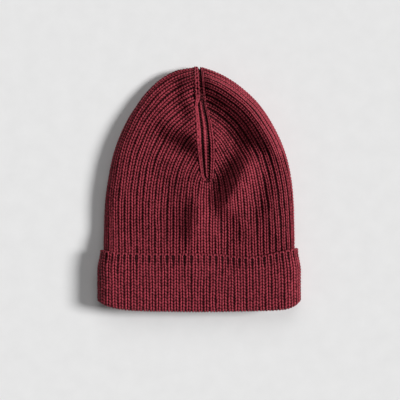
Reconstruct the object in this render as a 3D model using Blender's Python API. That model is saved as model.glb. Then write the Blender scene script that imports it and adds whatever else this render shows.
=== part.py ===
"""Ribbed knitted beanie with a turned-up cuff, lying flat on its back.

The mouth is towards -Y, the top towards +Y and the front face up, towards +Z.
The floor is z = 0. Three pieces: the crown (a knitted pouch, open at the mouth),
the cuff folded up around its lower end, and the seam that closes the crown from
front to back over the top.
"""
import bmesh
import bpy
import numpy as np

# Driving sizes, in metres
LENGTH = 0.2526            # fold of the hem to the top of the crown
CROWN_WIDTH = 0.1969       # crown lying flat, just above the cuff
CROWN_THICK = 0.0285       # lying crown at its fullest, floor to top
EDGE_LIFT = 0.0095         # height of the crown's side edge above the floor
TOP_ROUND = 0.0270         # how far in from the side edge the upper face rounds over
UNDER_ROUND = 0.0100       # how far in from the side edge the underside rounds under
LEFT_ROUND = 0.0200        # the same for the left side's upper face, which lies flatter
LEFT_LOW = 0.28            # share by which the left side lies lower than the right
WALL = 0.0030              # knitted wall
CUFF_HEIGHT = 0.0605       # fold of the hem to the cuff's upper edge
CUFF_THICK = 0.0262        # lying cuff, floor to top
CUFF_ROUND = 0.0140        # how far in from its side edge the cuff rounds over
CUFF_FLARE = 0.0029        # how far the crown spreads to each side inside the cuff
CUFF_GAP = 0.0005          # between the crown and the cuff around it
CUFF_LIP = 0.0011          # rounding of the cuff's upper edge
LEAVE_CUFF = 0.0300        # length over which the crown comes down to the floor behind the cuff
HEM_BOW = 0.0023           # how much the middle of the hem hangs below its ends
HEM_CORNER = 0.0072        # rise of the hem at its rounded corners
SEAM_LENGTH = 0.1230       # top of the crown down to the dart's end, front and back
SEAM_TURN = 0.0105         # how far the seam sits off the middle at the dart's end
SEAM_WIDTH = 0.0200        # seam with the ribs that run along it, at its widest
SEAM_THICK = 0.0021        # seam, from its underside to its highest rib
SEAM_GAP = 0.0003          # between the seam and the crown under it
SEAM_PROUD = 0.0006        # how far the seam's ribs stand above the crown's on the front
FLOOR_GAP = 0.0003         # clear height of the seam's underside above the floor
RIB_DEPTH = 0.0013         # groove between two ribs
RIBS = 70                  # ribs all round
BACK_RIBS = 4              # ribs on the back, next to each side edge, that stand clear of the floor

HALF_WIDTH = CROWN_WIDTH / 2
HALF_LENGTH = LENGTH / 2
FOLD_RADIUS = WALL + CUFF_GAP / 2
CUFF_OUT = CUFF_GAP + WALL
DART_Y = HALF_LENGTH - SEAM_LENGTH
COLUMNS = 2 * RIBS         # a crest and a groove for every rib
HALF = COLUMNS // 2
CLEAR = HALF // 2 + 2 * BACK_RIBS
ROUTE_STEPS = 260

# Side edges of the crown: share of LENGTH above the hem, shares of HALF_WIDTH
OUTLINE = (
    # up, left, right
    (0.000, 1.000, 1.000),
    (0.170, 1.000, 1.000),
    (0.330, 1.000, 1.000),
    (0.450, 0.987, 0.992),
    (0.560, 0.945, 0.960),
    (0.660, 0.885, 0.894),
    (0.760, 0.782, 0.776),
    (0.840, 0.657, 0.641),
    (0.905, 0.530, 0.474),
    (0.955, 0.383, 0.293),
    (0.985, 0.232, 0.128),
    (1.000, 0.000, 0.000),
)

# Lying crown along its length: share of LENGTH above the hem, share of CROWN_THICK
FULLNESS = (
    # up, height
    (0.20, 0.80),
    (0.32, 0.88),
    (0.48, 1.00),
    (0.70, 1.00),
    (0.86, 0.88),
    (1.00, 0.66),
)

# Seam from the top down: share of SEAM_LENGTH, of SEAM_TURN, and of SEAM_WIDTH to each side
SEAM = (
    # down, turn, left, right
    (0.00, 0.00, 0.28, 0.20),
    (0.15, 0.21, 0.38, 0.17),
    (0.36, 0.46, 0.46, 0.17),
    (0.50, 0.78, 0.58, 0.28),
    (0.65, 0.92, 0.64, 0.31),
    (0.80, 0.95, 0.55, 0.31),
    (0.93, 0.98, 0.42, 0.24),
    (1.00, 1.00, 0.00, 0.00),
)

# Folds and dents of the upper face, each along a bent line of three points: shares of
# HALF_WIDTH across and of LENGTH up, then shares of CROWN_THICK for its height and for
# its reach to the left and to the right of the line
FOLDS = (
    # name, x1, y1, x2, y2, x3, y3, height, left, right
    ("rim roll", 0.14, 0.935, 0.50, 0.850, 0.80, 0.670, 0.44, 0.54, 0.36),
    ("seam valley", 0.00, 0.880, 0.24, 0.770, 0.56, 0.645, -0.34, 0.36, 0.52),
    ("dart valley", 0.34, 0.660, 0.225, 0.568, 0.10, 0.465, -0.31, 0.34, 0.42),
    ("middle roll", 0.54, 0.615, 0.44, 0.530, 0.29, 0.425, 0.30, 0.38, 0.40),
    ("side valley", 0.72, 0.600, 0.68, 0.530, 0.60, 0.400, -0.19, 0.38, 0.36),
    ("seam ridge", -0.05, 0.962, -0.03, 0.850, 0.01, 0.670, 0.19, 0.44, 0.22),
    ("seam hump", -0.30, 0.765, -0.12, 0.728, 0.04, 0.690, 0.16, 0.36, 0.45),
    ("left hollow", -0.38, 0.695, -0.22, 0.668, -0.06, 0.635, -0.20, 0.40, 0.36),
    ("top hollow", -0.24, 0.955, -0.24, 0.885, -0.18, 0.815, -0.14, 0.50, 0.30),
    ("left dent", -0.47, 0.560, -0.34, 0.440, -0.42, 0.345, -0.10, 0.45, 0.55),
    ("front roll", 0.02, 0.435, -0.05, 0.325, -0.08, 0.170, 0.28, 0.34, 0.42),
    ("right hollow", 0.30, 0.360, 0.31, 0.300, 0.30, 0.220, -0.19, 0.36, 0.50),
)
FOLD_IN_CUFF = 0.35        # share of a fold's height that is left under the cuff
FOLD_END = 0.45            # share of CROWN_THICK over which a fold runs out at its ends

# Upper edge of the cuff on the front: share of HALF_WIDTH across, rise as share of CUFF_HEIGHT
CUFF_EDGE = (
    # across, rise
    (-1.00, 0.050),
    (-0.85, 0.016),
    (-0.50, 0.000),
    (0.00, 0.000),
    (0.22, -0.016),
    (0.50, -0.064),
    (0.70, -0.026),
    (0.86, 0.032),
    (1.00, 0.080),
)

# Cross-section of the seam: place from its left edge (-1) over the crease (0) to its
# right edge (1), and the share of SEAM_THICK that it stands there
SEAM_PROFILE = (
    # across, height
    (-1.00, 0.45),
    (-0.62, 1.00),
    (-0.22, 0.70),
    (0.00, 0.30),
    (0.50, 0.95),
    (1.00, 0.45),
)

# Rings of the crown: shares of its length under the cuff, then shares of each rib above it
RINGS_UNDER = (0.0, 0.42, 0.82)
RINGS_ABOVE = (0.0, 0.03, 0.08, 0.14, 0.20, 0.26, 0.32, 0.38, 0.44, 0.50,
               0.56, 0.62, 0.68, 0.74, 0.80, 0.86, 0.915, 0.96, 1.0)

KNIT_COLOUR = (0.105, 0.016, 0.022, 1.0)
KNIT_ROUGHNESS = 0.85


def ease(t):
    """Smooth step from 0 to 1."""
    t = np.clip(t, 0.0, 1.0)
    return t * t * (3.0 - 2.0 * t)


def spline(knots, values):
    """Natural cubic curve through the values at the knots, as a function."""
    knots = np.asarray(knots, float)
    values = np.asarray(values, float)
    gaps = np.diff(knots)
    size = len(knots)
    matrix = np.eye(size)
    right = np.zeros((size,) + values.shape[1:])
    for i in range(1, size - 1):
        matrix[i, i - 1:i + 2] = gaps[i - 1], 2 * (gaps[i - 1] + gaps[i]), gaps[i]
        rise = (values[i + 1] - values[i]) / gaps[i] - (values[i] - values[i - 1]) / gaps[i - 1]
        right[i] = 6 * rise
    bend = np.linalg.solve(matrix, right)

    def curve(at):
        at = np.clip(at, knots[0], knots[-1])
        i = np.clip(np.searchsorted(knots, at) - 1, 0, size - 2)
        gap = gaps[i]
        before = knots[i + 1] - at
        after = at - knots[i]
        if values.ndim > 1:
            gap, before, after = gap[..., None], before[..., None], after[..., None]
        ends = bend[i] * before ** 3 / (6 * gap) + bend[i + 1] * after ** 3 / (6 * gap)
        start = (values[i] / gap - bend[i] * gap / 6) * before
        return ends + start + (values[i + 1] / gap - bend[i + 1] * gap / 6) * after

    return curve


def column(table, index):
    return np.array([row[index] for row in table])


fullness = spline(column(FULLNESS, 0), column(FULLNESS, 1))
seam_turn = spline(column(SEAM, 0), column(SEAM, 1))


def up_share(y):
    return (y + HALF_LENGTH) / LENGTH


def above_cuff(y):
    """0 under the cuff, 1 once the crown has come down to the floor behind it."""
    return ease((y + HALF_LENGTH - CUFF_HEIGHT) / LEAVE_CUFF)


def underside(y):
    """Height of the crown's underside: on the floor, and on the cuff's wall inside the cuff."""
    return (1 - above_cuff(y)) * CUFF_OUT


def side_edge(y):
    """Height of the crown's side edge."""
    inside = CUFF_THICK / 2
    return inside + (EDGE_LIFT - inside) * above_cuff(y)


def upper_face(x, y):
    """Height of the crown's upper face between its rounded sides, without folds."""
    inside = CUFF_THICK - CUFF_OUT
    lower = 1 - LEFT_LOW * ease((0.2 - x / HALF_WIDTH) / 1.1)
    return inside + (CROWN_THICK * fullness(up_share(y)) * lower - inside) * above_cuff(y)


def top_round(x, y):
    """How far in from the side edge the upper face rounds over."""
    outside = LEFT_ROUND + (TOP_ROUND - LEFT_ROUND) * ease((1 + x / HALF_WIDTH) / 2)
    return CUFF_ROUND + (outside - CUFF_ROUND) * above_cuff(y)


def quarter_round(share):
    """Height of a quarter ellipse, for the share of its width from the edge in."""
    return np.sqrt(np.clip(1 - (1 - np.clip(share, 0, 1)) ** 2, 0, 1))


def flared(x, y):
    """Spread the crown to the sides inside the cuff."""
    leaving = (y + HALF_LENGTH) / CUFF_HEIGHT
    return x + CUFF_FLARE * (x / HALF_WIDTH) ** 3 * (1 - ease((leaving - 0.70) / 0.34))


def fold_height(x, y):
    """Rise of the upper face at a place in plan, from the table of folds."""
    total = np.zeros(np.shape(x))
    steps = np.linspace(0, 1, 13)
    for name, x1, y1, x2, y2, x3, y3, height, left, right in FOLDS:
        line_x = HALF_WIDTH * ((1 - steps) ** 2 * x1 + 2 * steps * (1 - steps) * (2 * x2 - (x1 + x3) / 2)
                               + steps ** 2 * x3)
        line_y = LENGTH * ((1 - steps) ** 2 * y1 + 2 * steps * (1 - steps) * (2 * y2 - (y1 + y3) / 2)
                           + steps ** 2 * y3) - HALF_LENGTH
        best = np.full(np.shape(x), np.inf)
        rise = np.zeros(np.shape(x))
        for i in range(len(steps) - 1):
            along_x, along_y = line_x[i + 1] - line_x[i], line_y[i + 1] - line_y[i]
            length = np.hypot(along_x, along_y)
            off_x, off_y = x - line_x[i], y - line_y[i]
            along = (off_x * along_x + off_y * along_y) / length
            over = np.where(along < 0, -along, np.maximum(along - length, 0))
            side = (off_x * along_y - off_y * along_x) / length
            downward = side if along_y > 0 else -side
            reach = np.where(downward > 0, right, left) * CROWN_THICK
            far = side ** 2 + over ** 2
            value = height * CROWN_THICK * np.exp(-(side / reach) ** 2 - (over / (FOLD_END * CROWN_THICK)) ** 2)
            rise = np.where(far < best, value, rise)
            best = np.minimum(far, best)
        total += rise
    return total * (FOLD_IN_CUFF + (1 - FOLD_IN_CUFF) * above_cuff(y))


def crown_height(x, y, inward, front):
    """Height of the crown's surface at a place in plan that is so far in from the side edge."""
    edge = side_edge(y)
    over = quarter_round(inward / top_round(x, y))
    folds = fold_height(x, y) * ease(inward / CUFF_ROUND)
    top = edge + (upper_face(x, y) - edge) * over + folds
    under = edge - (edge - underside(y)) * quarter_round(inward / UNDER_ROUND)
    return np.where(front, top, under)


def hem_line(x):
    """The lowest line of the folded hem: bowed, with round corners, the right one tighter."""
    across = np.clip(np.abs(x) / (HALF_WIDTH + CUFF_FLARE), 0, 1)
    corner = np.where(x > 0, across ** 16, across ** 8)
    return -HALF_LENGTH + HEM_BOW * across ** 2 + HEM_CORNER * corner


def seat_line(x):
    """The line where the crown's lower edge sits in the fold of the hem."""
    return hem_line(x) + FOLD_RADIUS


def cuff_edge_line(x, front):
    """The cuff's upper edge, which dips on the front and is even on the back."""
    across = x / HALF_WIDTH
    rise = np.interp(across, column(CUFF_EDGE, 0), column(CUFF_EDGE, 1))
    ends = np.where(across > 0, CUFF_EDGE[-1][1], CUFF_EDGE[0][1])
    plain = ends * np.clip(np.abs(across), 0, 1) ** 6
    return -HALF_LENGTH + CUFF_HEIGHT * (1 + np.where(front, rise, plain))


def guide():
    """The right side edge from the hem to the top: places, inward directions and shares of the way."""
    knots = np.stack([column(OUTLINE, 2) * HALF_WIDTH, column(OUTLINE, 0) * LENGTH - HALF_LENGTH], 1)
    chords = np.concatenate([[0], np.cumsum(np.hypot(*np.diff(knots, axis=0).T))])
    curve = spline(chords, knots)
    way = np.linspace(0, chords[-1], ROUTE_STEPS)
    place = curve(way)
    along = np.gradient(place, way, axis=0)
    along /= np.linalg.norm(along, axis=1)[:, None]
    inward = np.stack([-along[:, 1], along[:, 0]], 1)
    return place, inward, way / way[-1]


def spread_left(x, y, front):
    """Widen the left side, worked out as the right one, to its own outline near the top."""
    more = column(OUTLINE, 1) - column(OUTLINE, 2)
    widths = np.interp(up_share(y), column(OUTLINE, 0), column(OUTLINE, 2)) * HALF_WIDTH
    crease = -seam_place(y, front)
    share = np.clip((x - crease) / np.maximum(widths - crease, WALL), 0, 1)
    return x + share * HALF_WIDTH * np.interp(up_share(y), column(OUTLINE, 0), more)


def arc_table(width, height):
    """Lengths over a rounded side, against how far in from the edge they get."""
    turn = np.linspace(0, np.pi / 2, 24)
    inward = np.append(width * (1 - np.cos(turn)), CROWN_WIDTH)
    rise = height * quarter_round(inward / width)
    return inward, np.concatenate([[0], np.cumsum(np.hypot(np.diff(inward), np.diff(rise)))])


def reach_to_middle(place, inward, line):
    """Distance from each place on the side edge to the line between the two sides' ribs.

    Past the dart the line ends, and the last distance holds.
    """
    reach = (place[:, 0] - line) / np.maximum(-inward[:, 0], 0.5)
    last = np.argmax(place[:, 1] + inward[:, 1] * reach > DART_Y + WALL)
    reach[last:] = reach[last]
    return reach


def distance_in(share, table, reach):
    """Distance in from the side edge at shares of the way over the rounded side to the middle.

    Only the ribs next to the middle follow it where it comes closer to the edge.
    """
    inward, length = table
    far = np.interp(share * np.interp(reach[0], inward, length), length, inward)
    return far + (reach - reach[0])[:, None] * share ** 8


def rib_routes(around):
    """Plan of the ribs at the given shares around, from the front seam to the right.

    Each rib keeps its distance to the side edge, so it runs up parallel to it and ends on
    the seam. Returns arrays, a row for each rib: x, y, distance in from the edge and face
    (True on the front), and for each rib the step at which it reaches the seam.
    """
    count = len(around)
    x, y, inward = (np.zeros((count, ROUTE_STEPS)) for _ in range(3))
    front = np.zeros((count, ROUTE_STEPS), bool)
    ends = np.zeros(count)
    turn = SEAM_TURN / (2 * CROWN_WIDTH)
    edge_place, edge_inward, way = guide()
    over = arc_table(TOP_ROUND, CROWN_THICK - EDGE_LIFT)
    below = arc_table(UNDER_ROUND, EDGE_LIFT)
    for side in (1, -1):
        rows = np.nonzero(around <= 0.5 if side > 0 else around > 0.5)[0]
        from_front = around[rows] if side > 0 else 1 - around[rows]
        edge = (0.25 - side * turn * (1 - ease(way)))[:, None]
        reach_top = reach_to_middle(edge_place, edge_inward, side * SEAM_TURN)
        reach_under = reach_to_middle(edge_place, edge_inward, -side * SEAM_TURN)
        far_top = distance_in(np.clip(1 - from_front / edge, 0, 1), over, reach_top)
        far_under = distance_in(np.clip((from_front - edge) / (0.5 - edge), 0, 1), below, reach_under)
        front[rows] = (from_front <= edge).T
        inward[rows] = np.where(front[rows], far_top.T, far_under.T)
        x[rows] = edge_place[:, 0] + inward[rows] * edge_inward[:, 0]
        y[rows] = edge_place[:, 1] + inward[rows] * edge_inward[:, 1]
        if side < 0:
            x[rows] = -spread_left(x[rows], y[rows], front[rows])
        ends[rows] = seam_steps(side, x[rows], y[rows], front[rows])
    return flared(x, y), y, inward, front, ends


def seam_place(y, front):
    """Where the seam's crease runs at that height of the crown, turned the other way behind."""
    down = (HALF_LENGTH - y) / SEAM_LENGTH
    return np.where(front, 1, -1) * SEAM_TURN * seam_turn(np.clip(down, 0, 1))


def seam_steps(side, x, y, front):
    """The step, with its fraction, at which each route comes to the seam's edge."""
    down = np.clip((HALF_LENGTH - y) / SEAM_LENGTH, 0, 1)
    reach = SEAM_WIDTH * np.interp(down, column(SEAM, 0), column(SEAM, 3 if side > 0 else 2))
    clear = side * (x - seam_place(y, front)) - reach
    clear = np.where(y < DART_Y, np.maximum(clear, DART_Y - y), clear)
    ends = np.zeros(len(x))
    for row, values in enumerate(clear):
        inside = np.nonzero(values <= 1e-7)[0]
        last = inside[0] if len(inside) else len(values) - 1
        before = max(last - 1, 0)
        fall = values[before] - values[last]
        ends[row] = before + (values[before] / fall if fall > 0 else 1)
    return ends


def take(values, steps):
    """Values along the routes at fractional steps, one array of steps for each route."""
    low = np.clip(np.floor(steps).astype(int), 0, ROUTE_STEPS - 2)
    share = steps - low
    rows = np.arange(len(values))[:, None]
    return values[rows, low] * (1 - share) + values[rows, low + 1] * share


def crown_rings(around):
    """Smooth outer surface of the crown: places by rib and ring, and how far in they are.

    The first rings lie under the cuff at even heights, the rest share out each rib's
    length from the cuff's edge to the seam.
    """
    x, y, inward, front, ends = rib_routes(around)
    count = len(around)
    steps = np.arange(ROUTE_STEPS)
    under = np.array(RINGS_UNDER)
    above = np.array(RINGS_ABOVE)
    wanted = np.zeros((count, len(under) + len(above)))
    for row in range(count):
        base_x, base_front = x[row, 0], front[row, 0]
        low = seat_line(base_x) + SEAM_GAP
        high = cuff_edge_line(base_x, base_front)
        levels = low + under * (high - low)
        wanted[row, :len(under)] = np.interp(levels, y[row], steps)
        begin = np.interp(high, y[row], steps)
        run = np.hypot(np.gradient(x[row]), np.gradient(y[row]))
        length = np.concatenate([[0], np.cumsum(run)[:-1]])
        first, last = np.interp([begin, ends[row]], steps, length)
        wanted[row, len(under):] = np.interp(first + above * (last - first), length, steps)
    ring_x, ring_y, ring_in = take(x, wanted), take(y, wanted), take(inward, wanted)
    ring_front = take(front.astype(float), wanted) > 0.5
    height = crown_height(ring_x, ring_y, ring_in, ring_front)
    return np.stack([ring_x, ring_y, height], 2), ring_in, ring_front


def normals(grid):
    """Outward directions of a grid of places that is closed around its first index."""
    across = np.roll(grid, -1, 0) - np.roll(grid, 1, 0)
    along = np.gradient(grid, axis=1)
    out = np.cross(across, along)
    return out / np.linalg.norm(out, axis=2)[:, :, None]


def section_normals(grid):
    """Outward directions in the planes across the crown, for the rings under the cuff."""
    across = np.roll(grid, -1, 0) - np.roll(grid, 1, 0)
    out = np.stack([-across[:, :, 2], np.zeros(across.shape[:2]), across[:, :, 0]], 2)
    return out / np.linalg.norm(out, axis=2)[:, :, None]


def groove_depth(inward, front):
    """How deep each column lies below its ribs' crests: grooves only, flat on the floor."""
    flat = np.where(front, 0.0, ease((inward - 0.5 * UNDER_ROUND) / (0.5 * UNDER_ROUND)))
    depth = RIB_DEPTH * (1 - flat)
    depth[1::2] = 0.0
    return depth


def ribbed_columns():
    """Grooves all round, and crests where the ribs stand clear of the floor."""
    return [i for i in range(COLUMNS) if i % 2 == 0 or min(i, COLUMNS - i) <= CLEAR]


def groove_columns():
    return list(range(0, COLUMNS, 2))


def lining_columns():
    """Every groove on the front, every other one behind."""
    edge = HALF // 2 + 1
    return [i for i in groove_columns() if min(i, COLUMNS - i) <= edge or (i - HALF) % 4 == 0]


def add_ring(mesh, places, columns=None):
    """Points of a closed ring, each with its column."""
    if columns is None:
        columns = range(len(places))
    return [(i, mesh.verts.new(places[i])) for i in columns]


def join_rings(mesh, first, second):
    """A closed band of faces between two rings, which may leave out different columns."""
    i = j = 0
    while i < len(first) or j < len(second):
        start, other = first[i % len(first)][1], second[j % len(second)][1]
        next_start, next_other = first[(i + 1) % len(first)], second[(j + 1) % len(second)]
        at = next_start[0] if i + 1 < len(first) else COLUMNS + (i + 1 > len(first))
        other_at = next_other[0] if j + 1 < len(second) else COLUMNS + (j + 1 > len(second))
        if at <= other_at:
            corner = next_other[1] if at == other_at else other
            mesh.faces.new((start, next_start[1], corner))
            i += 1
        if other_at <= at:
            mesh.faces.new((start, next_other[1], other))
            j += 1


def close_slot(mesh, ring, middle):
    """Fill the slot between the right and left ends of the ribs over a middle line.

    The ring starts on the front dart's end and passes the back dart's end halfway.
    """
    half = len(ring) // 2
    ring = [point for _, point in ring]
    line = [ring[0]] + [point for _, point in middle] + [ring[half]]
    for i in range(half):
        right, next_right = ring[i], ring[i + 1]
        left, next_left = ring[-i], ring[-i - 1]
        for corners in ((right, next_right, line[i + 1]), (right, line[i + 1], line[i]),
                        (left, next_left, line[i]), (next_left, line[i + 1], line[i])):
            if len(set(corners)) == 3:
                mesh.faces.new(corners)


def finish(mesh, name, material):
    """Make the mesh an object with its faces pointing out."""
    bmesh.ops.recalc_face_normals(mesh, faces=mesh.faces)
    data = bpy.data.meshes.new(name)
    mesh.to_mesh(data)
    mesh.free()
    data.materials.append(material)
    piece = bpy.data.objects.new(name, data)
    bpy.context.scene.collection.objects.link(piece)
    return piece


def knit(name):
    """Wine-red knitting yarn."""
    material = bpy.data.materials.new(name)
    material.use_nodes = True
    shader = material.node_tree.nodes["Principled BSDF"]
    shader.inputs["Base Color"].default_value = KNIT_COLOUR
    shader.inputs["Roughness"].default_value = KNIT_ROUGHNESS
    shader.inputs["Metallic"].default_value = 0.0
    return material


def stations(columns):
    """Stations of the slot between its two ends, for rings with the given columns."""
    return [i for i in columns if 0 < i < HALF]


def slot_depth(front_share):
    """How far the crown sinks under the seam: more behind, where the seam stays off the floor."""
    shallow = SEAM_THICK + SEAM_GAP - SEAM_PROUD
    deep = SEAM_THICK + SEAM_GAP + FLOOR_GAP
    return deep + (shallow - deep) * front_share


def slot_lines(smooth, outward):
    """The crown's surface under the seam: its right, middle and left lines and directions.

    Station i joins rib end i on the right with the one that many ribs to the left.
    """
    station = np.arange(HALF + 1)
    right = smooth[station, -1]
    left = smooth[-station, -1]
    out = outward[station, -1] + outward[-station, -1]
    out /= np.linalg.norm(out, axis=1)[:, None]
    front_share = 1 - ease((station - HALF / 2 + 4) / 8)
    depth = slot_depth(front_share)[:, None]
    y = (right[:, 1] + left[:, 1]) / 2
    place = seam_place(y, front_share > 0.5)
    share = np.clip((place - left[:, 0]) / np.maximum(right[:, 0] - left[:, 0], 1e-6), 0.2, 0.8)
    middle = left + (right - left) * share[:, None]
    return right - out * depth, middle - out * depth, left - out * depth, out


def build_crown(smooth, outward, inward, front):
    """The knitted pouch: ribbed outside, smooth inside, open at the mouth."""
    mesh = bmesh.new()
    depth = groove_depth(inward, front)
    depth[:, :len(RINGS_UNDER) + 1] = 0.0
    ribbed = smooth - outward * depth[:, :, None]
    right, middle, left, out = slot_lines(smooth, outward)
    slot_ring = np.concatenate([right, left[-2:0:-1]])
    outs = np.concatenate([out, out[-2:0:-1]])
    ribbed[:, -1] = slot_ring
    inner = smooth - outward * WALL
    inner[:, -1] = slot_ring - outs * (WALL - RIB_DEPTH)
    count = smooth.shape[1]
    hidden = len(RINGS_UNDER)
    outer_rings = [add_ring(mesh, ribbed[:, k], groove_columns() if k <= hidden else ribbed_columns())
                   for k in range(count)]
    inner_rings = [add_ring(mesh, inner[:, k], lining_columns() if k else groove_columns())
                   for k in range(count)]
    for rings in (outer_rings, inner_rings):
        for first, second in zip(rings, rings[1:]):
            join_rings(mesh, first, second)
    join_rings(mesh, inner_rings[0], outer_rings[0])
    outer_middle = add_ring(mesh, middle, stations(ribbed_columns()))
    inner_middle = add_ring(mesh, middle - out * (WALL - RIB_DEPTH), stations(lining_columns()))
    close_slot(mesh, outer_rings[-1], outer_middle)
    close_slot(mesh, inner_rings[-1], inner_middle)
    return finish(mesh, "crown", knit("crown_knit"))


def build_cuff(smooth, inward, front):
    """The turned-up band, with the fold of the hem under the crown's lower edge."""
    mesh = bmesh.new()
    under = smooth[:, :len(RINGS_UNDER) + 1]
    out = section_normals(under)
    depth = groove_depth(inward[:, :1], front[:, :1])[:, 0]

    def ring(level, offset, drop=0.0, rib_share=1.0):
        """Ring at one of the crown's levels, so far off it and so far towards the mouth."""
        places = under[:, level] + out[:, level] * (offset - depth * rib_share)[:, None]
        places[:, 1] -= drop
        places[:, 2] = np.maximum(places[:, 2], 0.0)
        return places

    last = under.shape[1] - 1
    outer = [ring(last, CUFF_OUT - CUFF_LIP), ring(last, CUFF_OUT, CUFF_LIP)]
    outer += [ring(level, CUFF_OUT) for level in range(last - 1, -1, -1)]
    outer[-1][:, 1] -= SEAM_GAP
    middle = CUFF_OUT - FOLD_RADIUS
    for turn in np.radians((35, 70, 105, 140)):
        offset = middle + FOLD_RADIUS * np.cos(turn)
        drop = SEAM_GAP + FOLD_RADIUS * np.sin(turn)
        outer.append(ring(0, offset, drop, max(0.0, np.cos(turn / 2) ** 2)))
    outer_rings = [add_ring(mesh, places, ribbed_columns()) for places in outer]
    inner = [ring(0, -WALL, SEAM_GAP, 0.0), ring(0, CUFF_GAP, SEAM_GAP, 0.0)]
    inner += [ring(level, CUFF_GAP, 0.0, 0.0) for level in range(1, last + 1)]
    inner_rings = [add_ring(mesh, places, groove_columns()) for places in inner]
    rings = outer_rings + inner_rings
    for first, second in zip(rings, rings[1:] + rings[:1]):
        join_rings(mesh, first, second)
    return finish(mesh, "cuff", knit("cuff_knit"))


def build_seam(smooth, outward):
    """The seam with the ribs along it, over the top from one dart's end to the other."""
    mesh = bmesh.new()
    right, middle, left, out = slot_lines(smooth, outward)
    across = column(SEAM_PROFILE, 0)
    heights = column(SEAM_PROFILE, 1) * SEAM_THICK
    margin = 0.93
    loops = []
    for i in stations(ribbed_columns()):
        lift = out[i] * SEAM_GAP
        ends = middle[i] + (left[i] - middle[i]) * margin, middle[i] + (right[i] - middle[i]) * margin
        top = []
        for place, height in zip(across, heights):
            end = ends[0] if place < 0 else ends[1]
            top.append(middle[i] + (end - middle[i]) * abs(place) + lift + out[i] * height)
        loops.append(add_ring(mesh, top + [ends[1] + lift, middle[i] + lift, ends[0] + lift]))
    for first, second in zip(loops, loops[1:]):
        join_rings(mesh, first, second)
    for loop in (loops[0], loops[-1]):
        loop = [point for _, point in loop]
        top, below = loop[:len(across)], loop[len(across):]
        centre = below[1]
        edge = [below[2]] + top + [below[0]]
        for a, b in zip(edge, edge[1:]):
            mesh.faces.new((centre, a, b))
    return finish(mesh, "crown_seam", knit("seam_knit"))


def main():
    for piece in list(bpy.data.objects):
        bpy.data.objects.remove(piece)
    smooth, inward, front = crown_rings(np.arange(COLUMNS) / COLUMNS)
    outward = normals(smooth)
    build_crown(smooth, outward, inward, front)
    build_cuff(smooth, inward, front)
    build_seam(smooth, outward)


main()
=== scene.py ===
"""Ribbed knitted beanie with a turned-up cuff, lying flat, knitted stitch by stitch.

Ribs, folds and seam follow the same named sizes as the solids. Each rib is a column of
yarn legs in pairs, laid along the knit's own surface over a thin backing.
"""
import bmesh
import bpy
import math
import numpy as np
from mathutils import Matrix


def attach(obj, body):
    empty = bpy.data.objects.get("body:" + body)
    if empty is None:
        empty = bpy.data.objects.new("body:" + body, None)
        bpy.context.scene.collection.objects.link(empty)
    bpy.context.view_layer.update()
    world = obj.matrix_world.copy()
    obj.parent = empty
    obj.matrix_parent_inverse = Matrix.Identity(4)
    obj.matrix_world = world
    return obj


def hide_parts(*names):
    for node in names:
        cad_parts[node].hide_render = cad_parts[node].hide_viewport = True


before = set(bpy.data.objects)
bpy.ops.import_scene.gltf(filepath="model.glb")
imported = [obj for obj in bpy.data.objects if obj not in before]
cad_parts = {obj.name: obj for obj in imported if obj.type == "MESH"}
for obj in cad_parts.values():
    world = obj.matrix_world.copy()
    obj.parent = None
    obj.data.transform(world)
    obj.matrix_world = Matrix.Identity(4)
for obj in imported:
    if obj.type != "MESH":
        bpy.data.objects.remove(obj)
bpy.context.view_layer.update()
rng = np.random.default_rng(7)

# The hat's sizes, in metres, as in the solids
LENGTH = 0.2526            # fold of the hem to the top of the crown
CROWN_WIDTH = 0.1969       # crown lying flat, just above the cuff
CROWN_THICK = 0.0285       # lying crown at its fullest, floor to top
EDGE_LIFT = 0.0095         # height of the crown's side edge above the floor
TOP_ROUND = 0.0270         # how far in from the side edge the upper face rounds over
UNDER_ROUND = 0.0100       # how far in from the side edge the underside rounds under
LEFT_ROUND = 0.0200        # the same for the left side's upper face, which lies flatter
LEFT_LOW = 0.28            # share by which the left side lies lower than the right
LOW_FROM, LOW_OVER = 0.2, 1.1  # from here to the left, over so much of HALF_WIDTH
WALL = 0.0030              # knitted wall
CUFF_HEIGHT = 0.0605       # fold of the hem to the cuff's upper edge
CUFF_THICK = 0.0262        # lying cuff, floor to top
CUFF_ROUND = 0.0140        # how far in from its side edge the cuff rounds over
CUFF_FLARE = 0.0029        # how far the crown spreads to each side inside the cuff
FLARE_TO, FLARE_END = 0.70, 0.34  # up to here, then fading: shares of CUFF_HEIGHT
CUFF_GAP = 0.0005          # between the crown and the cuff around it
LEAVE_CUFF = 0.0300        # length over which the crown comes down to the floor behind the cuff
HEM_BOW = 0.0023           # how much the middle of the hem hangs below its ends
HEM_CORNER = 0.0072        # rise of the hem at its rounded corners
RIGHT_TIGHT, LEFT_TIGHT = 16, 8  # how tightly these corners turn
EDGE_TIGHT = 6             # and how late the cuff's plain back edge rises to its ends
SEAM_LENGTH = 0.1230       # top of the crown down to the dart's end, front and back
SEAM_TURN = 0.0105         # how far the seam sits off the middle at the dart's end
SEAM_WIDTH = 0.0200        # seam with the ribs that run along it, at its widest
SEAM_GAP = 0.0003          # between the seam and the crown under it
SEAM_PROUD = 0.0006        # how far the seam's ribs stand above the crown's
RIBS = 70                  # ribs all round

HALF_WIDTH = CROWN_WIDTH / 2
HALF_LENGTH = LENGTH / 2
FOLD_RADIUS = WALL + CUFF_GAP / 2
CUFF_OUT = CUFF_GAP + WALL
DART_Y = HALF_LENGTH - SEAM_LENGTH
COLUMNS = 2 * RIBS         # a crest and a groove for every rib
HALF = COLUMNS // 2
ROUTE_STEPS, ARC_STEPS, FOLD_STEPS = 260, 24, 13

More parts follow.
